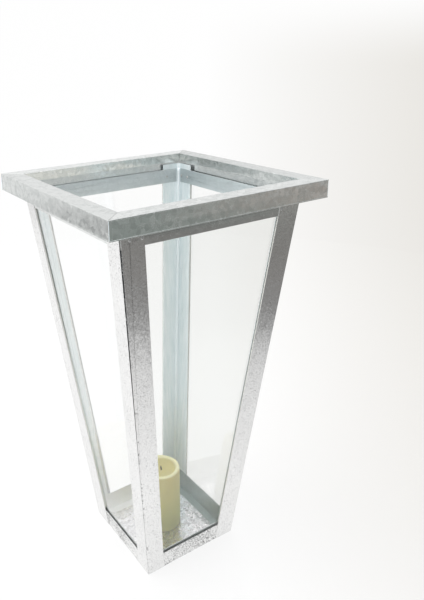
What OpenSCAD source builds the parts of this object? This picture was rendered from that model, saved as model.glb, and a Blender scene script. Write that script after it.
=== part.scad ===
// Hurricane candle lantern: an open-topped, upside-down frustum of folded galvanised sheet,
// glazed on four sides, with a folded rim round the mouth and a pillar candle on its floor.
// The origin is the centre of the base, +Z is up and -Y is the front. Millimetres.

/* [Overall size] */
// Height from the base to the top of the rim
total_h = 668; // [500:1:800]
// Outer width of the body at the base
base_w = 182.4; // [160:0.1:200]
// Outer width of the body where it goes into the rim
mouth_w = 314.4; // [290:0.1:320]

/* [Rim] */
// Outer width of the rim
rim_w = 370; // [360:1:400]
// Height of the rim's outer face
rim_h = 27; // [22:1:34]
// Width of the rim's flat top
rim_flange_w = 29; // [27:0.5:29]
// Drop of the lip that hangs inside the mouth
rim_lip_h = 14.4; // [8:0.2:14.4]
// How far the folded edges stand proud of the rim's outer face
rim_roll = 0.4; // [0.2:0.1:0.6]
// Height of the hem folded up inside the rim's lower edge
rim_hem_h = 4.5; // [3:0.5:6]
// Gap between two rim pieces along their mitre
rim_mitre_gap = 0.5; // [0.2:0.1:1]

/* [Frame] */
// Thickness of the galvanised sheet
sheet_t = 0.8; // [0.6:0.1:0.9]
// Width of a post's strips at the base
post_w_base = 31.5; // [28:0.5:36]
// Width of a post's strips at the rim
post_w_mouth = 38.2; // [38:0.1:42]
// Height of the bottom rail
bottom_rail_h = 32; // [28:0.5:35]
// Height of the top rail that shows below the rim
top_rail_show = 24; // [20:1:28]

/* [Glazing] */
// Thickness of the glass
glass_t = 3; // [2:0.5:3]
// Clearance behind and below the glass
glass_gap = 0.3; // [0.2:0.1:0.4]
// Distance from a corner's outer edge to the glass
glass_edge = 9; // [8:0.5:11]
// Thickness of the dark glazing seal between the rails and the glass
seal_t = 1; // [0.6:0.1:1.2]
// Width of the glazing seal
seal_w = 0.8; // [0.6:0.1:2]
// How far the top rail overlaps the glass
glass_lap = 5; // [3:0.5:7]
// Distance from a corner's outer edge to a glazing strip's free edge, at the base
glazing_w_base = 26; // [24:0.5:27]
// Distance from a corner's outer edge to a glazing strip's free edge, at the mouth
glazing_w_mouth = 32; // [30:0.5:32]
// Width of the hem along a glazing strip's free edge
glazing_hem_w = 8; // [5:0.5:9]
// Width of the face of the solder fillet between two glazing strips
fillet_w = 6; // [4:0.5:7]
// Height of the inner bottom rail
inner_bottom_h = 36; // [30:1:40]
// Width of the foot by which the inner bottom rail stands on the floor
foot_w = 14; // [8:1:16]
// Height of the inner top rail
inner_top_h = 25; // [18:1:26]

/* [Floor] */
// Thickness of the floor plate
floor_t = 1.5; // [1:0.1:2]

/* [Rivets] */
// Radius of a rivet's shank
rivet_r = 1.5; // [1.2:0.1:1.6]
// Radius of a rivet's head
rivet_head_r = 2.4; // [2.2:0.1:2.8]
// Height of a rivet's domed head
rivet_head_h = 0.9; // [0.6:0.1:1]
// Distance from a corner's outer edge to the rivet beside it
rivet_inset = 34.5; // [34:0.1:35]
// Distance from a corner's outer edge to the second rivet, where there is one
rivet_inset_2 = 16; // [14:0.5:18]
// Distance from a corner's outer edge to the rivet in a narrow strip
rivet_inset_narrow = 25; // [24:0.5:26]
// Height of the rivets above the top rail's lower edge
rivet_rise = 11; // [10:0.5:14]

/* [Candle] */
// Diameter of the candle
candle_d = 69; // [60:1:80]
// Height of the candle
candle_h = 123; // [90:1:150]
// Distance of the candle's axis to the right of the lantern's
candle_x = 1; // [-8:1:8]
// Distance of the candle's axis behind the lantern's
candle_y = 6; // [-8:1:8]
// Depth of the burnt hollow in the candle's top
melt_depth = 10; // [6:1:14]
// Height that the wick stands above the bottom of the hollow
wick_show = 9; // [6:1:12]
// Radius of the wick
wick_r = 1.3; // [1:0.1:1.5]

/* [Hidden] */
SIDES = ["front", "right", "back", "left"];
CORNERS = ["front_left", "front_right", "back_right", "back_left"];
// The strips of each side, named by the side and by the corner that each runs up
ENDS = [
    "front_left", "front_right", "right_front", "right_back",
    "back_right", "back_left", "left_back", "left_front"
];

// What the hand-cut post strips add to their widths at the base and at the rim, in ENDS order
POST_TRIM = [
    [0.8, -0.2], [5.5, 0.5], [1.5, -1.2], [10.5, 3.8], [3.5, 2.8], [1.5, -1.2], [9, -8.2], [1.5, -5.2]
];
// What the glazing strips add to their widths
GLAZING_TRIM = [
    [0, 0], [10, 6], [0, 0], [18, 11.6], [10.8, 10.5], [0, 0], [1, 6], [0, 0]
];
// How far each post strip's corner edge is set back, which opens a seam; below 0 it stays shut
SEAM_TRIM = [[-1, 2.8], [-9, -9], [-9, -9], [-9, -9], [-9, -9], [-9, -9], [-9, -9], [-9, -9]];

rim_z = total_h - rim_h;
top_z = total_h - sheet_t;
slope = (mouth_w - base_w) / 2 / rim_z;
lean = atan(slope);
top_rail_z = rim_z - top_rail_show;

// Depths below the body's outer face, measured square to the face, from the outside inwards
rail_depth = sheet_t;
seal_depth = rail_depth + sheet_t;
glass_depth = seal_depth + seal_t;
glazing_depth = glass_depth + glass_t + glass_gap;
inner_depth = glazing_depth + sheet_t;
inside_depth = inner_depth + sheet_t;

glazing_top_z = total_h - rim_lip_h - 2.5;
// Widths of the seams between two strips or rails that meet on a mitre
seam_gap = 0.3;
rail_mitre_gap = 0.5;
// The inner rails stop short of the corners, so that the fillets show between them
inner_rail_clear = 7.5;
rivet_z = top_rail_z + rivet_rise;
rivet_hole_r = rivet_r + 0.1;
// Distances of the rivets from the corner, for each strip in ENDS order
RIVET_INSETS = [
    [rivet_inset, rivet_inset_2], [rivet_inset], [rivet_inset], [rivet_inset, rivet_inset_2],
    [rivet_inset], [rivet_inset], [rivet_inset_narrow], [rivet_inset_narrow]
];
wick_clear = 0.1;
far = 500;
fine = 72;

// Half-width of the body at height z, on the surface that lies depth below its outer face
function half_at(z, depth) = base_w / 2 + z * slope - depth / cos(lean);
// Length up the sloping face to the height z
function up(z) = z / cos(lean);
// Half-width of a face at the length v up it
function face_half(v) = base_w / 2 + v * sin(lean);
// A width that grows evenly from the base to the rim, at the length v up a face
function grown(from, to, v) = from + (to - from) * v / up(rim_z);
// Where a face's left (-1) or right (1) end is in the lists of strips
function strip_at(face, end) = 2 * face + (end + 1) / 2;
// A strip's widths at the base and at the rim
function post_w(i) = [post_w_base, post_w_mouth] + POST_TRIM[i];
function glazing_w(i) = [glazing_w_base, glazing_w_mouth] + GLAZING_TRIM[i];
// A point on a circle
function polar(r, a) = [r * cos(a), r * sin(a)];

// Puts children drawn in X (along), Y (up the slope) and Z (outwards) on one face of the body
module on_face(face) {
    rotate([0, 0, 90 * face])
        translate([0, -base_w / 2, 0])
            rotate([90 + lean, 0, 0])
                children();
}

// Sweeps an outline drawn in Y and Z along the X axis
module swept() {
    rotate([90, 0, 90])
        linear_extrude(2 * far, center = true)
            children();
}

// The quarter of space in front of one face, cut back from the two mitre planes
module sector(gap) {
    translate([0, -gap / sqrt(2), -1])
        linear_extrude(total_h + 2)
            polygon([[0, 0], [-far, -far], [far, -far]]);
}

// The solid frustum inside the surface at one depth, between two heights
module frustum(depth, z0, z1) {
    a = half_at(z0, depth);
    b = half_at(z1, depth);
    intersection_for (turn = [0, 90])
        rotate([0, 0, turn])
            swept() polygon([[-a, z0], [a, z0], [b, z1], [-b, z1]]);
}

// A strip of sheet across the front face, with mitred ends
module strip(depth, z0, z1, gap) {
    intersection() {
        sector(gap);
        swept() polygon([
            [-half_at(z0, depth), z0],
            [-half_at(z1, depth), z1],
            [-half_at(z1, depth + sheet_t), z1],
            [-half_at(z0, depth + sheet_t), z0]
        ]);
    }
}

// The outline of a strip up a face's left end. near and wide are its edges' distances from
// the corner, at the base and at the rim
module strip_outline(near, wide, z0, z1) {
    v0 = up(z0);
    v1 = up(z1);
    polygon([
        [grown(near[0], near[1], v0) - face_half(v0), v0],
        [grown(wide[0], wide[1], v0) - face_half(v0), v0],
        [grown(wide[0], wide[1], v1) - face_half(v1), v1],
        [grown(near[0], near[1], v1) - face_half(v1), v1]
    ]);
}

// A strip of sheet up one end of the front face, mitred along the corner's edge
module corner_strip(end, depth, near, wide, z0, z1) {
    past = 10;
    mirror([end > 0 ? 1 : 0, 0, 0])
        intersection() {
            sector(seam_gap);
            frustum(depth, z0, z1);
            on_face(0)
                translate([0, 0, -depth - sheet_t])
                    linear_extrude(sheet_t + 1)
                        strip_outline(near, wide, z0 - past, z1 + past);
        }
}

// Cylinders for the rivets at one face's ends, between two depths
module rivet_shanks(face, r, depth0, depth1) {
    on_face(face)
        for (end = [-1, 1])
            for (inset = RIVET_INSETS[strip_at(face, end)])
                translate([end * (face_half(up(rivet_z)) - inset), up(rivet_z), -depth1])
                    cylinder(r = r, h = depth1 - depth0, $fn = fine);
}

// One side of the rim: outer face, flat top and hanging lip, folded from one strip
module rim(face) {
    outer = rim_w / 2;
    skin = outer - rim_roll;
    inner = outer - rim_flange_w;
    roll_h = 1.4;
    color("lightgray")
        rotate([0, 0, 90 * face])
            intersection() {
                sector(rim_mitre_gap);
                swept() mirror([1, 0]) polygon([
                    [outer, rim_z],
                    [outer, rim_z + roll_h],
                    [skin, rim_z + roll_h],
                    [skin, total_h - roll_h],
                    [outer, total_h - roll_h],
                    [outer, total_h],
                    [inner, total_h],
                    [inner, total_h - rim_lip_h],
                    [inner + sheet_t, total_h - rim_lip_h],
                    [inner + sheet_t, top_z],
                    [skin - sheet_t, top_z],
                    [skin - sheet_t, rim_z + rim_hem_h],
                    [skin - 2 * sheet_t, rim_z + rim_hem_h],
                    [skin - 2 * sheet_t, rim_z]
                ]);
            }
}

// The strip across the top of a face, behind the posts' strips
module top_rail(face) {
    color("silver")
        difference() {
            rotate([0, 0, 90 * face]) strip(rail_depth, top_rail_z, top_z, rail_mitre_gap);
            rivet_shanks(face, rivet_hole_r, 0, seal_depth + sheet_t / 2);
        }
}

// The strip across the foot of a face, behind the posts' strips
module bottom_rail(face) {
    color("silver")
        rotate([0, 0, 90 * face]) strip(rail_depth, 0, bottom_rail_h, rail_mitre_gap);
}

// Half of a corner post: a strip of sheet up one end of a face
module post_strip(face, end) {
    i = strip_at(face, end);
    color("gainsboro")
        difference() {
            rotate([0, 0, 90 * face])
                corner_strip(end, 0, SEAM_TRIM[i], post_w(i), 0, top_z);
            rivet_shanks(face, rivet_hole_r, -1, rail_depth + sheet_t / 2);
        }
}

// The strip behind a post strip that holds the glass, hemmed along its free edge
module glazing_strip(face, end) {
    wide = glazing_w(strip_at(face, end));
    hem_z0 = inner_bottom_h + 0.5;
    hem_z1 = top_rail_z - 0.5;
    hem_t = 0.6;
    hem_step = [0.3, 0.3];
    hem_w = [glazing_hem_w, glazing_hem_w];
    color("lightsteelblue")
        difference() {
            rotate([0, 0, 90 * face]) {
                corner_strip(end, glazing_depth, [-9, -9], wide, floor_t, glazing_top_z);
                mirror([end > 0 ? 1 : 0, 0, 0])
                    on_face(0)
                        translate([0, 0, -inner_depth - hem_t])
                            linear_extrude(hem_t + sheet_t / 2)
                                strip_outline(wide - hem_w, wide - hem_step, hem_z0, hem_z1);
            }
            rivet_shanks(face, rivet_hole_r, glazing_depth - 1, inside_depth);
        }
}

// The solder that fills the inner corner between two glazing strips, with a flat face
module corner_fillet(corner) {
    z0 = floor_t;
    z1 = glazing_top_z;
    face0 = half_at(z0, inner_depth) * sqrt(2) - fillet_w / 2;
    face1 = half_at(z1, inner_depth) * sqrt(2) - fillet_w / 2;
    thick = 20;
    color("lightsteelblue")
        rotate([0, 0, 90 * corner])
            intersection() {
                frustum(inner_depth, z0, z1);
                rotate([0, 0, -45])
                    swept() polygon([
                        [-face0, z0],
                        [-face1, z1],
                        [-face1 - thick, z1],
                        [-face0 - thick, z0]
                    ]);
            }
}

// The outline of the opening in front of a pane, drawn in by the same distance all round
module sight_outline(face, inset) {
    left = post_w(strip_at(face, -1)) - [inset, inset];
    right = post_w(strip_at(face, 1)) - [inset, inset];
    v0 = up(bottom_rail_h - inset);
    v1 = up(top_rail_z + inset);
    polygon([
        [grown(left[0], left[1], v0) - face_half(v0), v0],
        [face_half(v0) - grown(right[0], right[1], v0), v0],
        [face_half(v1) - grown(right[0], right[1], v1), v1],
        [grown(left[0], left[1], v1) - face_half(v1), v1]
    ]);
}

// The dark seal round a pane, thicker along the posts, where no rail backs it
module glazing_seal(face) {
    margin = 0.3;
    step = 0.1;
    near_edge = [margin + step, margin + step];
    far_edge = [seal_w + margin - step, seal_w + margin - step];
    color("dimgray")
        on_face(face) {
            translate([0, 0, -glass_depth])
                linear_extrude(seal_t)
                    difference() {
                        sight_outline(face, seal_w + margin);
                        sight_outline(face, margin);
                    }
            for (end = [-1, 1]) {
                wide = post_w(strip_at(face, end));
                mirror([end > 0 ? 1 : 0, 0, 0])
                    translate([0, 0, -seal_depth - seal_t / 2])
                        linear_extrude(sheet_t + seal_t / 2)
                            strip_outline(
                                wide - far_edge,
                                wide - near_edge,
                                bottom_rail_h + margin,
                                top_rail_z - margin
                            );
            }
        }
}

// A trapezoid pane, held between the outer frame with its seal and the inner strips and rails
module glass(face) {
    v0 = up(floor_t + glass_gap);
    v1 = up(top_rail_z + glass_lap);
    half0 = face_half(v0) - glass_edge;
    half1 = face_half(v1) - glass_edge;
    color("azure", 0.3)
        on_face(face)
            translate([0, 0, -glass_depth - glass_t])
                linear_extrude(glass_t)
                    polygon([[-half0, v0], [half0, v0], [half1, v1], [-half1, v1]]);
}

// The strip inside the mouth that closes the top of the glazing
module inner_top_rail(face) {
    color("lightsteelblue")
        difference() {
            rotate([0, 0, 90 * face])
                strip(inner_depth, top_rail_z, top_rail_z + inner_top_h, inner_rail_clear);
            rivet_shanks(face, rivet_hole_r, glazing_depth, inside_depth + 1);
        }
}

// The angle along the floor that holds the foot of the glazing
module inner_bottom_rail(face) {
    z0 = floor_t;
    z1 = inner_bottom_h;
    fold_z = z0 + sheet_t;
    color("lightsteelblue")
        rotate([0, 0, 90 * face])
            intersection() {
                sector(inner_rail_clear);
                swept() polygon([
                    [-half_at(z0, inner_depth), z0],
                    [-half_at(z1, inner_depth), z1],
                    [-half_at(z1, inside_depth), z1],
                    [-half_at(fold_z, inside_depth), fold_z],
                    [-half_at(fold_z, inside_depth) + foot_w, fold_z],
                    [-half_at(fold_z, inside_depth) + foot_w, z0]
                ]);
            }
}

// The square plate that closes the bottom and carries the candle
module floor_plate() {
    half = half_at(0, rail_depth + sheet_t) - glass_gap;
    color("whitesmoke")
        translate([-half, -half, 0])
            cube([2 * half, 2 * half, floor_t]);
}

// One blind rivet, drawn with its outer head above Z = 0
module rivet() {
    steps = 6;
    dimple_r = 0.7;
    dimple_h = 0.5;
    rotate_extrude($fn = fine)
        polygon(concat(
            [[0, rivet_head_h]],
            [for (i = [1:steps]) [
                rivet_head_r * sin(90 * i / steps),
                rivet_head_h * cos(90 * i / steps)
            ]],
            [[rivet_r, 0], [rivet_r, -inside_depth], [rivet_head_r, -inside_depth]],
            [for (i = [1:steps - 2]) [
                rivet_head_r * cos(90 * i / steps),
                -inside_depth - rivet_head_h * sin(90 * i / steps)
            ]],
            [[dimple_r, -inside_depth - rivet_head_h * 0.95], [dimple_r, -inside_depth - dimple_h]],
            [[0, -inside_depth - dimple_h]]
        ));
}

// All the rivets that join the top rails, the posts and the inner rails
module rivets() {
    color("darkgray")
        for (face = [0:3])
            on_face(face)
                for (end = [-1, 1])
                    for (inset = RIVET_INSETS[strip_at(face, end)])
                        translate([end * (face_half(up(rivet_z)) - inset), up(rivet_z), 0])
                            rivet();
}

// The candle's wax, with a rounded shoulder, a burnt hollow and the hole that the wick fills
module candle_wax() {
    r = candle_d / 2;
    shoulder = 2.5;
    crest_w = 3;
    pool_r = r - 9;
    pool_z = candle_h - melt_depth;
    steps = 6;
    hole_r = wick_r + wick_clear;
    color("palegoldenrod")
        translate([candle_x, candle_y, floor_t])
            rotate_extrude($fn = 2 * fine)
                polygon(concat(
                    [[hole_r, 0], [r - 1, 0], [r, 1]],
                    [for (i = [0:steps])
                        [r - shoulder, candle_h - shoulder] + polar(shoulder, 90 * i / steps)],
                    [[r - shoulder - crest_w / 2, candle_h - 0.4]],
                    [for (i = [0:steps]) [
                        pool_r + (r - shoulder - crest_w - pool_r) * cos(90 * i / steps),
                        candle_h - 1.2 - (melt_depth - 3.2) * sin(90 * i / steps)
                    ]],
                    [[pool_r * 0.6, pool_z + 0.8], [hole_r, pool_z]]
                ));
}

// The wick, from the candle's base to its charred tip
module candle_wick() {
    tip_h = 2;
    color("saddlebrown")
        translate([candle_x, candle_y, floor_t]) {
            cylinder(r = wick_r, h = candle_h - melt_depth + wick_show - tip_h, $fn = fine);
            translate([0, 0, candle_h - melt_depth + wick_show - tip_h])
                cylinder(r1 = wick_r, r2 = wick_r * 0.6, h = tip_h, $fn = fine);
        }
}

rim(0);  // rim_front
rim(1);  // rim_right
rim(2);  // rim_back
rim(3);  // rim_left
top_rail(0);  // top_rail_front
top_rail(1);  // top_rail_right
top_rail(2);  // top_rail_back
top_rail(3);  // top_rail_left
bottom_rail(0);  // bottom_rail_front
bottom_rail(1);  // bottom_rail_right
bottom_rail(2);  // bottom_rail_back
bottom_rail(3);  // bottom_rail_left
post_strip(0, -1);  // post_strip_front_left
post_strip(0, 1);  // post_strip_front_right
post_strip(1, -1);  // post_strip_right_front
post_strip(1, 1);  // post_strip_right_back
post_strip(2, -1);  // post_strip_back_right
post_strip(2, 1);  // post_strip_back_left
post_strip(3, -1);  // post_strip_left_back
post_strip(3, 1);  // post_strip_left_front
glazing_strip(0, -1);  // glazing_strip_front_left
glazing_strip(0, 1);  // glazing_strip_front_right
glazing_strip(1, -1);  // glazing_strip_right_front
glazing_strip(1, 1);  // glazing_strip_right_back
glazing_strip(2, -1);  // glazing_strip_back_right
glazing_strip(2, 1);  // glazing_strip_back_left
glazing_strip(3, -1);  // glazing_strip_left_back
glazing_strip(3, 1);  // glazing_strip_left_front
corner_fillet(0);  // corner_fillet_front_left
corner_fillet(1);  // corner_fillet_front_right
corner_fillet(2);  // corner_fillet_back_right
corner_fillet(3);  // corner_fillet_back_left
glazing_seal(0);  // glazing_seal_front
glazing_seal(1);  // glazing_seal_right
glazing_seal(2);  // glazing_seal_back
glazing_seal(3);  // glazing_seal_left
glass(0);  // glass_front
glass(1);  // glass_right
glass(2);  // glass_back
glass(3);  // glass_left
inner_top_rail(0);  // inner_top_rail_front
inner_top_rail(1);  // inner_top_rail_right
inner_top_rail(2);  // inner_top_rail_back
inner_top_rail(3);  // inner_top_rail_left
inner_bottom_rail(0);  // inner_bottom_rail_front
inner_bottom_rail(1);  // inner_bottom_rail_right
inner_bottom_rail(2);  // inner_bottom_rail_back
inner_bottom_rail(3);  // inner_bottom_rail_left
floor_plate();
rivets();
candle_wax();
candle_wick();
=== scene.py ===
import math
import random

import bmesh
import bpy
from mathutils import Matrix, Vector, noise


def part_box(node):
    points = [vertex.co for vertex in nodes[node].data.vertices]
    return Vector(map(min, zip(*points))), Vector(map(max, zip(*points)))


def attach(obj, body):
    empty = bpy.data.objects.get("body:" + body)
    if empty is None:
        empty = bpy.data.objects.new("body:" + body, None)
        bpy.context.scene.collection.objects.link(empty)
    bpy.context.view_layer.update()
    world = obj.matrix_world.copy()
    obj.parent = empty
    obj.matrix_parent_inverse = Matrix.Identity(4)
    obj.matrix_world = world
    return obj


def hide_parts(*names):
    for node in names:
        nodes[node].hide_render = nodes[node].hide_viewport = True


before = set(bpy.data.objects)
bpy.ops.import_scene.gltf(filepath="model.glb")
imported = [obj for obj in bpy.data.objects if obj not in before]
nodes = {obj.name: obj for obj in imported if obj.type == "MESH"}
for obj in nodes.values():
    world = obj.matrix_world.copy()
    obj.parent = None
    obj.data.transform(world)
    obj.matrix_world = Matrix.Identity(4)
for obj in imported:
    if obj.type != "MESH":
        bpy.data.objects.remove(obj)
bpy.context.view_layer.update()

SIDES = ("front", "right", "back", "left")
CORNERS = ("front_left", "front_right", "back_right", "back_left")
ENDS = (
    "front_left", "front_right", "right_front", "right_back",
    "back_right", "back_left", "left_back", "left_front",
)
MM = 0.001


# ---------------------------------------------------------------- materials


class Shade:
    """A node material on one Principled surface, in metres of object space."""

    def __init__(self, name, **surface):
        self.mat = bpy.data.materials.new(name)
        self.mat.use_nodes = True
        self.tree = self.mat.node_tree
        self.tree.nodes.clear()
        self.out = self.tree.nodes.new("ShaderNodeOutputMaterial")
        self.bsdf = self.tree.nodes.new("ShaderNodeBsdfPrincipled")
        self.join(self.bsdf.outputs[0], self.out.inputs["Surface"])
        for socket, value in surface.items():
            self.bsdf.inputs[socket.replace("_", " ")].default_value = value
        self.place = self.node("ShaderNodeTexCoord").outputs["Object"]

    def node(self, kind, **props):
        made = self.tree.nodes.new(kind)
        for key, value in props.items():
            setattr(made, key, value)
        return made

    def join(self, source, target):
        self.tree.links.new(source, target)

    def put(self, socket, value):
        """Links a socket, or sets it to a plain value."""
        if isinstance(value, bpy.types.NodeSocket):
            self.join(value, socket)
        else:
            socket.default_value = value

    def math(self, operation, a, b=0.0, c=0.0, clamp=False):
        made = self.node("ShaderNodeMath", operation=operation, use_clamp=clamp)
        for socket, value in zip(made.inputs, (a, b, c)):
            self.put(socket, value)
        return made.outputs[0]

    def vector(self, operation, a, b=(0, 0, 0), scale=1.0):
        made = self.node("ShaderNodeVectorMath", operation=operation)
        self.put(made.inputs[0], a)
        if operation == "SCALE":
            self.put(made.inputs[3], scale)
        elif operation != "NORMALIZE":
            self.put(made.inputs[1], b)
        return made.outputs[1 if operation in ("DOT_PRODUCT", "LENGTH") else 0]

    def spread(self, place, low, high, to_low, to_high, smooth=False):
        """Maps low..high onto to_low..to_high, clamped."""
        made = self.node("ShaderNodeMapRange", clamp=True)
        made.interpolation_type = "SMOOTHSTEP" if smooth else "LINEAR"
        for socket, value in zip(made.inputs, (place, low, high, to_low, to_high)):
            self.put(socket, value)
        return made.outputs["Result"]

    def noise(self, place, scale, detail=2.0, rough=0.5, out="Fac"):
        made = self.node("ShaderNodeTexNoise")
        self.put(made.inputs["Vector"], place)
        made.inputs["Scale"].default_value = scale
        made.inputs["Detail"].default_value = detail
        made.inputs["Roughness"].default_value = rough
        return made.outputs[out]

    def cells(self, place, scale):
        made = self.node("ShaderNodeTexVoronoi", feature="F1")
        self.put(made.inputs["Vector"], place)
        made.inputs["Scale"].default_value = scale
        return made.outputs["Color"]

    def axes(self, place):
        """A place's X, Y and Z."""
        made = self.node("ShaderNodeSeparateXYZ")
        self.join(place, made.inputs[0])
        return made.outputs

    def stretched(self, place, x, y, z):
        made = self.node("ShaderNodeMapping")
        self.put(made.inputs["Vector"], place)
        made.inputs["Scale"].default_value = (x, y, z)
        return made.outputs["Vector"]

    def mix(self, factor, a, b, kind="MIX"):
        made = self.node("ShaderNodeMix", data_type="RGBA", blend_type=kind)
        for socket, value in zip((made.inputs[0], made.inputs[6], made.inputs[7]), (factor, a, b)):
            self.put(socket, value)
        return made.outputs[2]

    def ramp(self, place, stops):
        """Maps a place to a colour by stops of (position, colour)."""
        made = self.node("ShaderNodeValToRGB")
        self.put(made.inputs[0], place)
        marks = made.color_ramp.elements
        while len(marks) < len(stops):
            marks.new(0.5)
        for mark, (position, colour) in zip(marks, stops):
            mark.position = position
            mark.color = colour
        return made.outputs["Color"]

    def shift(self, place, scale, amount):
        """Moves a place by noise, so that what is drawn there has crooked edges."""
        crooked = self.vector("SUBTRACT", self.noise(place, scale, 3, 0.6, "Color"), (0.5, 0.5, 0.5))
        return self.vector("ADD", place, self.vector("SCALE", crooked, scale=amount))

    def bump(self, height, strength, distance, normal=None):
        made = self.node("ShaderNodeBump")
        made.inputs["Strength"].default_value = strength
        made.inputs["Distance"].default_value = distance
        self.put(made.inputs["Height"], height)
        if normal is not None:
            self.join(normal, made.inputs["Normal"])
        return made.outputs["Normal"]


def rgb(r, g, b):
    return (r, g, b, 1.0)


def zinc(name, bright, dark, cell=7.0, crystals=0.3, clouds=0.3, tilt=0.04, rough=(0.26, 0.42),
         flecks=0.0, fleck_size=2.0, fleck_dark=0.5, wave=0.3, along=(1, 1, 1), lip_shade=None):
    """Hot-dipped sheet: crystals of zinc, each with its own brightness, tilt and feathering."""
    s = Shade(name, Metallic=1.0)
    place = s.place
    crooked = s.shift(place, 1 / (cell * 0.9 * MM), cell * 0.6 * MM)
    crystal = s.cells(crooked, 1 / (cell * MM))
    parts = s.node("ShaderNodeSeparateColor")
    s.join(crystal, parts.inputs[0])
    one, two = parts.outputs[0], parts.outputs[1]
    # feathering: fine lines whose direction differs from crystal to crystal
    heading = s.vector("SUBTRACT", crystal, (0.5, 0.5, 0.5))
    wavering = s.vector("DOT_PRODUCT", s.shift(place, 400, 0.0012), heading)
    feather = s.math("SINE", s.math("MULTIPLY", wavering, 7000.0))
    cloud = s.noise(s.stretched(place, *along), 16, 4, 0.6)
    fine = s.noise(s.stretched(place, *along), 520, 3, 0.65)
    level = s.math("MULTIPLY_ADD", s.math("SUBTRACT", one, 0.5), crystals, 0.25)
    level = s.math("MULTIPLY_ADD", s.math("SUBTRACT", 0.5, cloud), clouds * 2.5, level)
    level = s.math("MULTIPLY_ADD", feather, crystals * 0.12, level)
    level = s.math("MULTIPLY_ADD", s.math("SUBTRACT", fine, 0.5), 0.5, level)
    colour = s.mix(s.math("ADD", level, 0, clamp=True), bright, dark)
    grain = s.math("SUBTRACT", fine, 0.5)
    roughness = s.math("MULTIPLY_ADD", grain, 0.15, s.spread(two, 0, 1, rough[0], rough[1]))
    if flecks:
        spots = s.noise(s.shift(place, 300, 0.002), 1 / (fleck_size * MM), 3, 0.7)
        patch = s.spread(s.noise(place, 30, 3, 0.6), 0.35, 0.6, 0.35, 1)
        fleck = s.math("MULTIPLY", s.spread(spots, 0.70 - 0.12 * flecks, 0.76 - 0.10 * flecks, 0, 1), patch)
        colour = s.mix(s.math("MULTIPLY", fleck, fleck_dark), colour, rgb(0.10, 0.10, 0.10))
        roughness = s.math("MULTIPLY_ADD", fleck, 0.15, roughness)
    if lip_shade:
        # painted shade: the lip that hangs in the mouth is drawn darker, streaked along its length
        limit, tone = lip_shade
        apart = s.axes(place)
        reach = s.math("MAXIMUM", s.math("ABSOLUTE", apart["X"]), s.math("ABSOLUTE", apart["Y"]))
        streak = s.noise(s.stretched(place, along[0] * 0.3, along[1] * 0.3, 4), 60, 4, 0.7)
        lip = s.mix(s.spread(streak, 0.46, 0.70, 0, 1), tone, bright)
        colour = s.mix(s.spread(reach, limit, limit + 0.0005, 1, 0), colour, lip)
    s.join(colour, s.bsdf.inputs["Base Color"])
    s.join(s.math("ADD", roughness, 0, clamp=True), s.bsdf.inputs["Roughness"])
    facing = s.node("ShaderNodeNewGeometry").outputs["Normal"]
    tilted = s.vector("NORMALIZE", s.vector("ADD", facing, s.vector("SCALE", heading, scale=tilt)))
    wavy = s.bump(s.noise(s.stretched(place, *along), 9, 2, 0.5), wave, 0.01, tilted)
    s.join(s.bump(fine, 0.06, 0.0005, wavy), s.bsdf.inputs["Normal"])
    return s.mat


def clear_glass(name, tint):
    s = Shade(name, Base_Color=rgb(*tint), Roughness=0.0, IOR=1.5, Transmission_Weight=1.0)
    smear = s.noise(s.stretched(s.place, 1, 1, 0.4), 11, 4, 0.62)
    s.join(s.spread(smear, 0.45, 0.75, 0.0, 0.035), s.bsdf.inputs["Roughness"])
    s.join(s.bump(s.noise(s.place, 5, 1, 0.5), 0.04, 0.01), s.bsdf.inputs["Normal"])
    through = s.node("ShaderNodeBsdfTransparent")
    through.inputs["Color"].default_value = rgb(0.93, 0.95, 0.94)
    either = s.node("ShaderNodeMixShader")
    s.join(s.node("ShaderNodeLightPath").outputs["Is Shadow Ray"], either.inputs["Fac"])
    s.join(s.bsdf.outputs[0], either.inputs[1])
    s.join(through.outputs[0], either.inputs[2])
    s.join(either.outputs[0], s.out.inputs["Surface"])
    return s.mat


def wax():
    s = Shade("ivory_wax", Roughness=0.45, Subsurface_Weight=0.5, Subsurface_Scale=0.005,
              Subsurface_Radius=(1.0, 0.75, 0.35), IOR=1.44, Coat_Weight=0.1, Coat_Roughness=0.3)
    cloud = s.noise(s.stretched(s.place, 1, 1, 0.35), 38, 4, 0.6)
    height = s.axes(s.place)["Z"]
    low = s.mix(cloud, rgb(0.54, 0.54, 0.20), rgb(0.63, 0.61, 0.24))
    high = s.mix(cloud, rgb(0.57, 0.50, 0.20), rgb(0.67, 0.59, 0.26))
    # painted highlight: the crest at the top is drawn much paler than the body
    crest = s.mix(cloud, rgb(0.76, 0.74, 0.47), rgb(0.83, 0.81, 0.54))
    colour = s.mix(s.spread(height, 0.015, 0.105, 0, 1, True), low, high)
    colour = s.mix(s.spread(height, 0.1185, 0.1225, 0, 1, True), colour, crest)
    s.join(colour, s.bsdf.inputs["Base Color"])
    s.join(s.spread(s.noise(s.place, 160, 3, 0.6), 0.3, 0.7, 0.38, 0.55), s.bsdf.inputs["Roughness"])
    dents = s.bump(s.noise(s.place, 60, 3, 0.5), 0.25, 0.002)
    s.join(s.bump(s.noise(s.place, 700, 2, 0.5), 0.12, 0.0005, dents), s.bsdf.inputs["Normal"])
    return s.mat


def char():
    s = Shade("burnt_wick", Roughness=0.9)
    height = s.axes(s.place)["Z"]
    soot = s.spread(height, 0.112, 0.116, 0, 1, True)
    thread = s.noise(s.place, 1500, 3, 0.7)
    cotton = s.mix(thread, rgb(0.30, 0.25, 0.15), rgb(0.45, 0.40, 0.27))
    burnt = s.mix(thread, rgb(0.012, 0.011, 0.010), rgb(0.06, 0.055, 0.05))
    s.join(s.mix(soot, cotton, burnt), s.bsdf.inputs["Base Color"])
    s.join(s.bump(thread, 0.6, 0.0005), s.bsdf.inputs["Normal"])
    return s.mat


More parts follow.
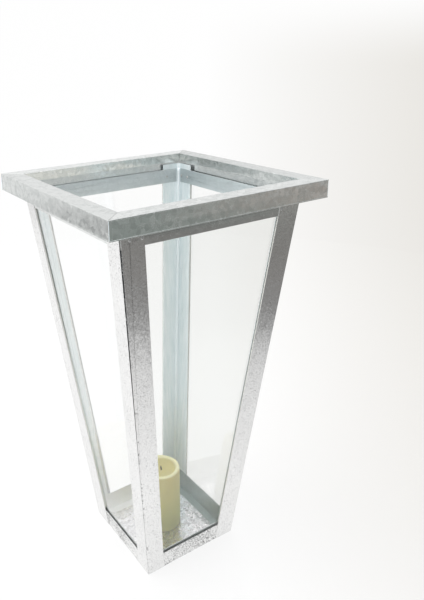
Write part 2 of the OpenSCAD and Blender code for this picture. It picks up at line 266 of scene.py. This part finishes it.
def seal(name, shade_dark, shade_pale):
    """Cream sealant up the posts, darkened with painted shade where it runs along the bottom rail."""
    s = Shade(name, Roughness=0.7, Specular_IOR_Level=0.3)
    grain = s.noise(s.place, 900, 3, 0.6)
    height = s.axes(s.place)["Z"]
    cream = s.mix(grain, rgb(0.80, 0.80, 0.75), rgb(0.92, 0.92, 0.87))
    bottom_shade = s.mix(grain, rgb(*[shade_dark] * 3), rgb(*[shade_pale] * 3))
    # painted shade up to about 4 cm, with a wavering edge
    up = s.math("MULTIPLY_ADD", s.math("SUBTRACT", grain, 0.5), 0.004, height)
    s.join(s.mix(s.spread(up, 0.034, 0.042, 0, 1), bottom_shade, cream), s.bsdf.inputs["Base Color"])
    s.join(s.bump(grain, 0.4, 0.0004), s.bsdf.inputs["Normal"])
    return s.mat


def rivet_metal():
    s = Shade("rivet_metal", Metallic=1.0)
    grain = s.noise(s.place, 1300, 3, 0.6)
    s.join(s.mix(grain, rgb(0.42, 0.42, 0.42), rgb(0.66, 0.66, 0.65)), s.bsdf.inputs["Base Color"])
    s.join(s.spread(grain, 0.3, 0.7, 0.3, 0.5), s.bsdf.inputs["Roughness"])
    s.join(s.bump(grain, 0.15, 0.0003), s.bsdf.inputs["Normal"])
    return s.mat


def solder():
    s = Shade("solder", Metallic=1.0)
    lumps = s.noise(s.place, 260, 4, 0.6)
    s.join(s.mix(lumps, rgb(0.84, 0.92, 0.96), rgb(0.95, 0.99, 1.0)), s.bsdf.inputs["Base Color"])
    s.join(s.spread(lumps, 0.3, 0.7, 0.40, 0.55), s.bsdf.inputs["Roughness"])
    s.join(s.bump(lumps, 0.35, 0.0012), s.bsdf.inputs["Normal"])
    return s.mat


# how each finish is drawn out: along a side, up a post, in streaks up a glazing strip
LONG = {"front": (0.12, 1, 1.8), "back": (0.12, 1, 1.8), "right": (1, 0.12, 1.8), "left": (1, 0.12, 1.8)}
UPRIGHT = (1, 1, 0.25)
STREAKED = (10, 10, 0.5)
# the rim's hanging lip is what lies nearer the middle than this; it is drawn in painted shade
LIP_REACH = 0.1553
# painted light and shade: each side of the rim gets its own brighter and darker copy of one zinc, for the
# light it catches and what it reflects
RIM_SIDE_SHADING = {
    "front": (rgb(0.82, 0.84, 0.83), rgb(0.52, 0.55, 0.54)),
    "right": (rgb(0.70, 0.72, 0.71), rgb(0.46, 0.49, 0.48)),
    "back": (rgb(0.88, 0.90, 0.89), rgb(0.60, 0.63, 0.62)),
    "left": (rgb(0.76, 0.78, 0.77), rgb(0.50, 0.53, 0.52)),
}
rim_zinc = {
    side: zinc(f"rim_zinc_{side}", bright, dark, cell=6, crystals=0.55, clouds=0.6, tilt=0.03,
               rough=(0.16, 0.26), flecks=0.5, fleck_dark=0.3, along=LONG[side],
               lip_shade=(LIP_REACH, rgb(0.24, 0.28, 0.30)))
    for side, (bright, dark) in RIM_SIDE_SHADING.items()
}
top_zinc = {
    side: zinc(f"top_zinc_{side}", rgb(0.82, 0.83, 0.82), rgb(0.60, 0.62, 0.62), cell=6, crystals=0.3,
               clouds=0.6, tilt=0.02, rough=(0.16, 0.26), flecks=0.4, fleck_dark=0.3, along=LONG[side])
    for side in SIDES
}
rail_zinc = {
    side: zinc(f"rail_zinc_{side}", rgb(0.94, 0.94, 0.935), rgb(0.80, 0.80, 0.79), cell=3, crystals=0.3,
               clouds=0.2, tilt=0.06, rough=(0.16, 0.26), flecks=1.9, fleck_size=2.2, fleck_dark=0.9,
               along=LONG[side])
    for side in SIDES
}
post_zinc = zinc("post_zinc", rgb(0.89, 0.89, 0.885), rgb(0.79, 0.785, 0.78), cell=2.2, crystals=0.25,
                 clouds=0.15, tilt=0.06, rough=(0.14, 0.24), flecks=1.3, fleck_size=1.8, fleck_dark=0.6,
                 along=UPRIGHT)


def inner_set(kind, side_shading, **more):
    return {
        side: zinc(f"{kind}_{side}", bright, dark, cell=6, crystals=0.2, clouds=0.5, tilt=0.02,
                   along=LONG[side], **more)
        for side, (bright, dark) in side_shading.items()
    }


# painted light and shade: the inner bottom rails and mouth strips get brighter and darker copies of one
# zinc by side, darkest on the right, and the inner rail at the back brightest
OPEN_TONE = (rgb(0.74, 0.78, 0.78), rgb(0.56, 0.60, 0.60))
inner_zinc = inner_set("inner_zinc", {
    "front": OPEN_TONE, "left": OPEN_TONE,
    "right": (rgb(0.42, 0.49, 0.48), rgb(0.27, 0.33, 0.32)),
    "back": (rgb(0.97, 0.98, 0.99), rgb(0.86, 0.87, 0.88)),
}, rough=(0.44, 0.56))
mouth_zinc = inner_set("mouth_zinc", {
    "front": OPEN_TONE, "left": OPEN_TONE,
    "right": (rgb(0.63, 0.69, 0.70), rgb(0.46, 0.52, 0.53)),
    "back": (rgb(0.74, 0.78, 0.79), rgb(0.50, 0.54, 0.55)),
}, rough=(0.30, 0.42), flecks=0.8, fleck_dark=0.3)
glazing_zinc = zinc("glazing_zinc", rgb(0.95, 0.99, 1.0), rgb(0.72, 0.82, 0.835), cell=4, crystals=0.15,
                    clouds=0.7, tilt=0.01, rough=(0.45, 0.55), wave=0.02, along=STREAKED)
floor_zinc = zinc("floor_zinc", rgb(0.82, 0.81, 0.825), rgb(0.47, 0.455, 0.475), cell=4.5, crystals=0.9,
                  clouds=0.2, tilt=0.13, rough=(0.20, 0.34), flecks=0.6, fleck_size=2.5, fleck_dark=0.5,
                  wave=0.6)
# the front and right panes are tinted greyer, darkening what shows through them
clear_pane = clear_glass("clear_pane", (0.99, 0.994, 0.992))
greyer_pane = clear_glass("greyer_pane", (0.948, 0.952, 0.943))
# painted shade along the bottom rail: deepest on the left side's seal, lighter on the others
deeply_shaded_seal = seal("deeply_shaded_seal", 0.06, 0.16)
pale_seal = seal("pale_seal", 0.42, 0.66)
solder_mat = solder()
rivet_mat = rivet_metal()
crumb_mat = zinc("seam_crumb", rgb(0.50, 0.50, 0.50), rgb(0.25, 0.25, 0.25), cell=2, rough=(0.4, 0.6))
wax_mat = wax()
char_mat = char()


# ------------------------------------------------------- the CAD nodes' finish


def smooth_group():
    """A modifier's node group that shades every face smooth."""
    group = bpy.data.node_groups.new("shade_smooth", "GeometryNodeTree")
    group.interface.new_socket("Geometry", in_out="INPUT", socket_type="NodeSocketGeometry")
    group.interface.new_socket("Geometry", in_out="OUTPUT", socket_type="NodeSocketGeometry")
    start = group.nodes.new("NodeGroupInput")
    smooth = group.nodes.new("GeometryNodeSetShadeSmooth")
    end = group.nodes.new("NodeGroupOutput")
    group.links.new(start.outputs[0], smooth.inputs["Geometry"])
    group.links.new(smooth.outputs[0], end.inputs[0])
    return group


SMOOTH = smooth_group()


def soften(obj, width, segments=2, angle=35):
    """Rounds a folded piece's edges by a real radius."""
    weld = obj.modifiers.new("weld", "WELD")
    weld.merge_threshold = 0.02 * MM
    bevel = obj.modifiers.new("bevel", "BEVEL")
    bevel.width = width
    bevel.segments = segments
    bevel.miter_outer = "MITER_ARC"
    bevel.limit_method = "ANGLE"
    bevel.angle_limit = math.radians(angle)
    shade = obj.modifiers.new("smooth", "NODES")
    shade.node_group = SMOOTH
    even = obj.modifiers.new("normals", "WEIGHTED_NORMAL")
    even.weight = 100


def dress(name, material, radius=0.0, segments=2):
    obj = nodes[name]
    obj.data.materials.clear()
    obj.data.materials.append(material)
    if radius:
        soften(obj, radius, segments)


for side in SIDES:
    dress(f"rim_{side}", rim_zinc[side], 0.2 * MM, 3)
    dress(f"top_rail_{side}", top_zinc[side], 0.2 * MM)
    dress(f"bottom_rail_{side}", rail_zinc[side], 0.2 * MM)
    dress(f"inner_top_rail_{side}", mouth_zinc[side], 0.2 * MM)
    dress(f"inner_bottom_rail_{side}", inner_zinc[side], 0.25 * MM)
    dress(f"glazing_seal_{side}", deeply_shaded_seal if side == "left" else pale_seal, 0.12 * MM)
    dress(f"glass_{side}", greyer_pane if side in ("front", "right") else clear_pane, 0.25 * MM)
for end in ENDS:
    dress(f"post_strip_{end}", post_zinc, 0.25 * MM)
    dress(f"glazing_strip_{end}", glazing_zinc, 0.2 * MM)
for corner in CORNERS:
    dress(f"corner_fillet_{corner}", solder_mat)
dress("floor_plate", floor_zinc, 0.4 * MM)
dress("rivets", rivet_mat)
dress("candle_wax", wax_mat)
dress("candle_wick", char_mat)


# ------------------------------------------------------- pieces beyond the CAD


def smooth_object(name, mesh, material):
    """Turns a bmesh into a smooth-shaded object with one material."""
    data = bpy.data.meshes.new(name)
    mesh.to_mesh(data)
    mesh.free()
    data.shade_smooth()
    data.materials.append(material)
    obj = bpy.data.objects.new(name, data)
    bpy.context.scene.collection.objects.link(obj)
    return obj


def tube(name, spine, radii, material, sides=10, squash=None):
    """A closed tube through points, with a radius at each; squash flattens it along one direction."""
    mesh = bmesh.new()
    rings = []
    for i, (point, radius) in enumerate(zip(spine, radii)):
        ahead = (spine[min(i + 1, len(spine) - 1)] - spine[max(i - 1, 0)]).normalized()
        side = ahead.orthogonal().normalized() if squash is None else ahead.cross(squash).normalized()
        other = ahead.cross(side).normalized()
        flat = 1.0 if squash is None else 0.45
        rings.append([
            mesh.verts.new(point + side * radius * math.cos(a) + other * radius * flat * math.sin(a))
            for a in [2 * math.pi * k / sides for k in range(sides)]
        ])
    for low, high in zip(rings, rings[1:]):
        for k in range(sides):
            mesh.faces.new((low[k], low[(k + 1) % sides], high[(k + 1) % sides], high[k]))
    mesh.faces.new(list(reversed(rings[0])))
    mesh.faces.new(rings[-1])
    bmesh.ops.recalc_face_normals(mesh, faces=mesh.faces)
    return smooth_object(name, mesh, material)


# the body's width at its foot and under the rim, and the height between them
BASE = 0.1824
MOUTH = 0.3144
RISE = 0.641
SPREAD = (MOUTH - BASE) / 2 / RISE
LEAN = math.atan(SPREAD)
# a corner bead's ends, its radius, and how deep it lies behind the body's face and its corner
BEAD_FOOT = 0.012
BEAD_TOP = 0.642
BEAD_RADIUS = 0.0026
BEAD_DEPTH = 0.0067
BEAD_SET_IN = 0.0033
# the bottom and height of the rim's outer face, and how far out its mitres stand
RIM_FOOT = 0.6425
RIM_FACE = 0.0245
RIM_MITRE = 0.1843
rng = random.Random(7)


def half(z, depth=0.0):
    """Half the body's width at a height, less a depth square to its slope."""
    return BASE / 2 + z * SPREAD - depth / math.cos(LEAN)


def solder_bead(corner):
    """The wavering run of solder down an inner corner."""
    turn = Matrix.Rotation(math.radians(90 * corner + 225), 3, "Z")
    spine, radii = [], []
    steps = 110
    for i in range(steps + 1):
        z = BEAD_FOOT + (BEAD_TOP - BEAD_FOOT) * i / steps
        away = half(z, BEAD_DEPTH) * math.sqrt(2) - BEAD_SET_IN
        sway = 0.0011 * noise.noise(Vector((corner * 7.1, 0.0, z * 42)))
        sway += 0.0005 * noise.noise(Vector((corner * 3.3, 4.0, z * 160)))
        spine.append(turn @ Vector((away, sway, z)))
        radii.append(BEAD_RADIUS * (1 + 0.4 * noise.noise(Vector((corner * 5.7, 9.0, z * 60)))))
    inward = turn @ Vector((1.0, 0.0, 0.0))
    bead = tube(f"solder_bead_{CORNERS[corner]}", spine, radii, solder_mat, 10, inward)
    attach(bead, "lantern")


for corner in range(4):
    solder_bead(corner)


def lump(mesh, centre, size, stretch):
    """A small irregular blob of metal."""
    made = bmesh.ops.create_icosphere(mesh, subdivisions=2, radius=1.0)["verts"]
    seed = rng.uniform(0, 50)
    for vert in made:
        wobble = 1 + 0.35 * noise.noise(vert.co * 1.3 + Vector((seed, seed, seed)))
        vert.co = centre + Vector([c * s * wobble * size for c, s in zip(vert.co, stretch)])


def burrs():
    """Crumbs of solder and flux left along the seam of the front corner."""
    mesh = bmesh.new()
    for band, count in (((0.13, 0.26), 11), ((0.03, 0.62), 16), ((0.45, 0.63), 9)):
        for k in range(count):
            z = rng.uniform(*band)
            h = half(z)
            centre = Vector((-h + rng.uniform(0.0006, 0.003), -h - 0.0001, z))
            lump(mesh, centre, rng.uniform(0.0005, 0.0011), (1.0, 0.45, rng.uniform(1.0, 2.2)))
    obj = smooth_object("seam_crumbs", mesh, crumb_mat)
    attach(obj, "lantern")


burrs()


def rim_beads():
    """The runs of solder down the rim's outer mitres."""
    for name, sx, sy in (("front_left", -1, -1), ("front_right", 1, -1), ("back_left", -1, 1)):
        steps = 24
        spine, radii = [], []
        for i in range(steps + 1):
            z = RIM_FOOT + RIM_FACE * i / steps
            sway = 0.0002 * noise.noise(Vector((sx * 3.0, sy * 5.0, z * 300)))
            spine.append(Vector((sx * RIM_MITRE + sway, sy * RIM_MITRE, z)))
            radii.append(0.00055 * (1 + 0.3 * noise.noise(Vector((sx, sy, z * 420)))))
        bead = tube(f"rim_bead_{name}", spine, radii, solder_mat, 8)
        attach(bead, "lantern")


rim_beads()


def poured_candle():
    """The pillar as it has burnt: an uneven crest, a rounded shoulder and a dished pool."""
    low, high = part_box("candle_wax")
    middle = Vector(((low[0] + high[0]) / 2, (low[1] + high[1]) / 2, 0))
    r = (high[0] - low[0]) / 2 - 0.00025
    z0, top = low[2], high[2]
    # share of the radius, height, and how much the uneven burning lowers it
    profile = [(0.0, z0, 0.0), (0.97, z0, 0.0), (0.99, z0 + 0.0004, 0.0), (1.0, z0 + 0.0015, 0.0)]
    profile += [(1.0, z0 + 0.01 + 0.105 * k / 26, 0.0) for k in range(27)]
    profile += [(share, top - depth, droop) for share, depth, droop in (
        (0.997, 0.0042, 1.0), (0.985, 0.0022, 1.0), (0.962, 0.0009, 1.0), (0.93, 0.0004, 1.0),
        (0.89, 0.0004, 1.0), (0.85, 0.0010, 1.0), (0.81, 0.0022, 0.9), (0.77, 0.0040, 0.7),
        (0.72, 0.0058, 0.4), (0.64, 0.0074, 0.2), (0.5, 0.0086, 0.1), (0.3, 0.0093, 0.0),
        (0.12, 0.0095, 0.0), (0.0, 0.0095, 0.0),
    )]
    steps = 96
    mesh = bmesh.new()
    rings = []
    for share, z, droop in profile:
        if share == 0.0:
            rings.append([mesh.verts.new(middle + Vector((0, 0, z)))])
            continue
        ring = []
        for k in range(steps):
            a = 2 * math.pi * k / steps
            round_about = Vector((math.cos(a), math.sin(a), 0))
            dip = droop * (0.0011 + 0.0011 * noise.noise(round_about * 1.4 + Vector((3, 1, 5))))
            swell = 1 - 0.004 - 0.004 * noise.noise(round_about * 1.1 + Vector((0, 0, z * 22)))
            if share < 0.9:
                swell *= 1 + 0.03 * noise.noise(round_about * 1.8 + Vector((8, 2, 0)))
            out = round_about * (r * share * min(swell, 1.0))
            ring.append(mesh.verts.new(middle + out + Vector((0, 0, z - max(dip, 0)))))
        rings.append(ring)
    for a, b in zip(rings, rings[1:]):
        for k in range(steps):
            n = (k + 1) % steps
            if len(a) == 1:
                mesh.faces.new((a[0], b[n], b[k]))
            elif len(b) == 1:
                mesh.faces.new((a[k], a[n], b[0]))
            else:
                mesh.faces.new((a[k], a[n], b[n], b[k]))
    bmesh.ops.recalc_face_normals(mesh, faces=mesh.faces)
    obj = smooth_object("poured_wax", mesh, wax_mat)
    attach(obj, "candle")
    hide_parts("candle_wax")
    return middle


def bent_wick(middle):
    """The wick through the candle's whole length, its burnt tip leaning over."""
    low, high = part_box("candle_wick")
    steps = 60
    spine, radii = [], []
    for i in range(steps + 1):
        z = low[2] + (high[2] - 0.0006 - low[2]) * i / steps
        lift = max(0.0, (z - (high[2] - 0.009)) / 0.009)
        spine.append(middle + Vector((-0.0009 * lift ** 2, 0.0004 * math.sin(lift * 3), z)))
        frayed = 1 + 0.18 * noise.noise(Vector((2.0, 7.0, z * 900)))
        radii.append(0.0013 * frayed * (1 - 0.35 * lift ** 4))
    wick = tube("bent_wick", spine, radii, char_mat, 10)
    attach(wick, "candle")
    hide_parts("candle_wick")


bent_wick(poured_candle())


# ------------------------------------------------------------------ the stage


ACROSS = Vector((0.848, -0.530, 0.0))


def studio_paper(name, glow_share):
    """Pale paper lit from behind, with painted shade dimming it towards the right-hand side of the room."""
    s = Shade(name, Roughness=0.9, Specular_IOR_Level=0.0)
    lateral = s.vector("DOT_PRODUCT", s.place, tuple(ACROSS))
    reach = s.vector("LENGTH", s.vector("MULTIPLY", s.place, (1, 1, 0)))
    height = s.axes(s.place)["Z"]
    side = s.math("DIVIDE", lateral, s.math("MULTIPLY_ADD", reach, 0.35, 0.6))
    dim = s.spread(side, 0.22, 1.05, 0, 1)
    dim = s.math("MULTIPLY", dim, s.spread(height, 0.7, 1.2, 1, 0, True))
    fibre = s.math("MULTIPLY", s.noise(s.place, 40, 3, 0.5), 0.01)
    dim = s.math("ADD", dim, fibre, clamp=True)
    tone = s.mix(dim, rgb(1.0, 1.0, 1.0), rgb(0.80, 0.78, 0.74))
    s.join(s.mix(1.0, tone, rgb(*[1 - glow_share] * 3), "MULTIPLY"), s.bsdf.inputs["Base Color"])
    s.join(tone, s.bsdf.inputs["Emission Color"])
    s.bsdf.inputs["Emission Strength"].default_value = glow_share
    return s.mat


def mesh_object(name, verts, faces, material, smooth=False):
    data = bpy.data.meshes.new(name)
    data.from_pydata(verts, [], faces)
    data.update()
    obj = bpy.data.objects.new(name, data)
    bpy.context.scene.collection.objects.link(obj)
    data.materials.append(material)
    if smooth:
        data.shade_smooth()
    return obj


def lathe(name, profile, steps, material):
    """Turns a profile of (radius, height) about the vertical axis."""
    verts, faces = [], []
    for r, z in profile:
        for k in range(steps):
            a = 2 * math.pi * k / steps
            verts.append((r * math.cos(a), r * math.sin(a), z))
    for i in range(len(profile) - 1):
        for k in range(steps):
            n = (k + 1) % steps
            faces.append((i * steps + k, i * steps + n, (i + 1) * steps + n, (i + 1) * steps + k))
    return mesh_object(name, verts, faces, material, True)


STAGE_STEPS = 96
BEND_STEPS = 14
FLOOR_RADIUS = 1.9
BEND_RADIUS = 1.6
WALL_TOP = 6.0
floor = lathe("studio_floor", [(0.0001, 0.0), (0.6, 0.0), (1.2, 0.0), (FLOOR_RADIUS, 0.0)],
              STAGE_STEPS, studio_paper("floor_paper", 0.80))
bend = [(FLOOR_RADIUS + BEND_RADIUS * math.sin(a), BEND_RADIUS * (1 - math.cos(a)))
        for a in [math.radians(90 * i / BEND_STEPS) for i in range(BEND_STEPS + 1)]]
wall = lathe("studio_sweep", bend + [(FLOOR_RADIUS + BEND_RADIUS, WALL_TOP)],
             STAGE_STEPS, studio_paper("wall_paper", 0.97))
wall.visible_diffuse = False
wall.visible_glossy = False
wall.visible_shadow = False


def card(name, corners, shade):
    """A card that only reflections see."""
    made = mesh_object(name, corners, [tuple(range(len(corners)))], shade.mat)
    made.visible_camera = False
    made.visible_diffuse = False
    made.visible_shadow = False
    made.visible_transmission = False
    made.visible_volume_scatter = False


def grey(level, tint=(1, 1, 1)):
    return rgb(*[level * t for t in tint])


def glow(name):
    """A surface that only gives off light."""
    return Shade(name, Base_Color=grey(0), Roughness=1.0, Specular_IOR_Level=0.0, Emission_Strength=1.0)


# the darker room in front and to the right, fading in across the floor
near = Vector((0.24, -0.685, 0.004))
way = Vector((0.908, 0.419, 0.0))
out = Vector((0.419, -0.908, 0.0))
span = (-0.5, 3.4)
s = glow("room_shade")
away = s.vector("DOT_PRODUCT", s.vector("SUBTRACT", s.place, tuple(near)), tuple(out))
first = s.ramp(s.spread(away, span[0], 0.6, 0, 1), [
    (0.0, grey(0.98)), (0.16, grey(0.89)), (0.28, grey(0.82)), (0.36, grey(0.75)), (0.43, grey(0.60)),
    (0.505, grey(0.32)), (0.57, grey(0.255)), (0.70, grey(0.235, (1.03, 1, 0.97))),
    (1.0, grey(0.21, (1.04, 1, 0.96))),
])
along_x = s.axes(s.place)["X"]
second = s.mix(s.spread(along_x, 1.0, 2.3, 0, 1, True), rgb(0.25, 0.28, 0.265), rgb(0.45, 0.40, 0.37))
s.join(s.mix(s.spread(away, 0.6, 1.2, 0, 1), first, second), s.bsdf.inputs["Emission Color"])
card("room_floor", [near - way * 2.5 + out * span[0], near + way * 2.5 + out * span[0],
                    near + way * 2.9 + out * span[1], near - way * 2.5 + out * span[1]], s)

# a duller patch behind on the left
s = glow("left_shade")
along_y = s.axes(s.place)["Y"]
s.join(s.ramp(s.spread(along_y, 1.2, 3.2, 0, 1), [
    (0.0, grey(0.92)), (0.12, grey(0.5)), (0.32, grey(0.36)), (0.45, grey(0.55)), (0.68, grey(0.82)),
    (1.0, grey(1.0)),
]), s.bsdf.inputs["Emission Color"])
card("room_patch", [(-2.3, 1.2, 0.004), (-0.95, 1.2, 0.004), (-0.95, 3.2, 0.004), (-2.3, 3.2, 0.004)], s)


def area(name, place, target, size, power):
    data = bpy.data.lights.new(name, "AREA")
    data.shape = "RECTANGLE"
    data.size, data.size_y = size
    data.energy = power
    obj = bpy.data.objects.new(name, data)
    bpy.context.scene.collection.objects.link(obj)
    obj.location = place
    obj.rotation_mode = "QUATERNION"
    obj.rotation_quaternion = (Vector(target) - Vector(place)).to_track_quat("-Z", "Y")
    return obj


area("key_window", (-2.1, 1.0, 1.9), (0, 0, 0.3), (3.0, 3.0), 34)
area("overhead", (0.2, 0.3, 2.6), (0, 0, 0), (2.2, 2.2), 18)

world = bpy.data.worlds.new("studio_air")
bpy.context.scene.world = world
world.use_nodes = True
air = world.node_tree
air.nodes.clear()
sky_out = air.nodes.new("ShaderNodeOutputWorld")
sky = air.nodes.new("ShaderNodeBackground")
sky_at = air.nodes.new("ShaderNodeTexCoord")
toward = air.nodes.new("ShaderNodeVectorMath")
toward.operation = "DOT_PRODUCT"
toward.inputs[1].default_value = (0.62, -0.75, 0.0)
fade = air.nodes.new("ShaderNodeMapRange")
fade.interpolation_type = "SMOOTHSTEP"
fade.inputs["From Min"].default_value = 0.1
fade.inputs["From Max"].default_value = 0.9
tone = air.nodes.new("ShaderNodeMix")
tone.data_type = "RGBA"
tone.inputs[6].default_value = rgb(0.92, 0.92, 0.92)
tone.inputs[7].default_value = rgb(0.50, 0.53, 0.54)
air.links.new(sky_at.outputs["Generated"], toward.inputs[0])
air.links.new(toward.outputs["Value"], fade.inputs["Value"])
air.links.new(fade.outputs["Result"], tone.inputs[0])
air.links.new(tone.outputs[2], sky.inputs["Color"])
air.links.new(sky.outputs[0], sky_out.inputs["Surface"])
bpy.context.scene.view_settings.view_transform = "Standard"


# ----------------------------------------------------------------- the camera

azimuth, elevation, roll = [math.radians(a) for a in (-32.0446, 18.9333, -1.565)]
back = Vector((
    math.sin(azimuth) * math.cos(elevation),
    -math.cos(azimuth) * math.cos(elevation),
    math.sin(elevation),
))
right = (-back).cross(Vector((0, 0, 1))).normalized()
above = right.cross(-back)
turned = right * math.cos(roll) + above * math.sin(roll)
upward = above * math.cos(roll) - right * math.sin(roll)
lens = bpy.data.cameras.new("camera")
lens.sensor_width = 36
lens.lens = 36.555
lens.shift_x = 0.1016
lens.shift_y = -0.0698
lens.clip_start = 0.02
lens.clip_end = 50
camera = bpy.data.objects.new("camera", lens)
bpy.context.scene.collection.objects.link(camera)
camera.matrix_world = (
    Matrix.Translation((-0.5078, -0.7927, 0.8561))
    @ Matrix((turned, upward, back)).transposed().to_4x4()
)
bpy.context.scene.camera = camera
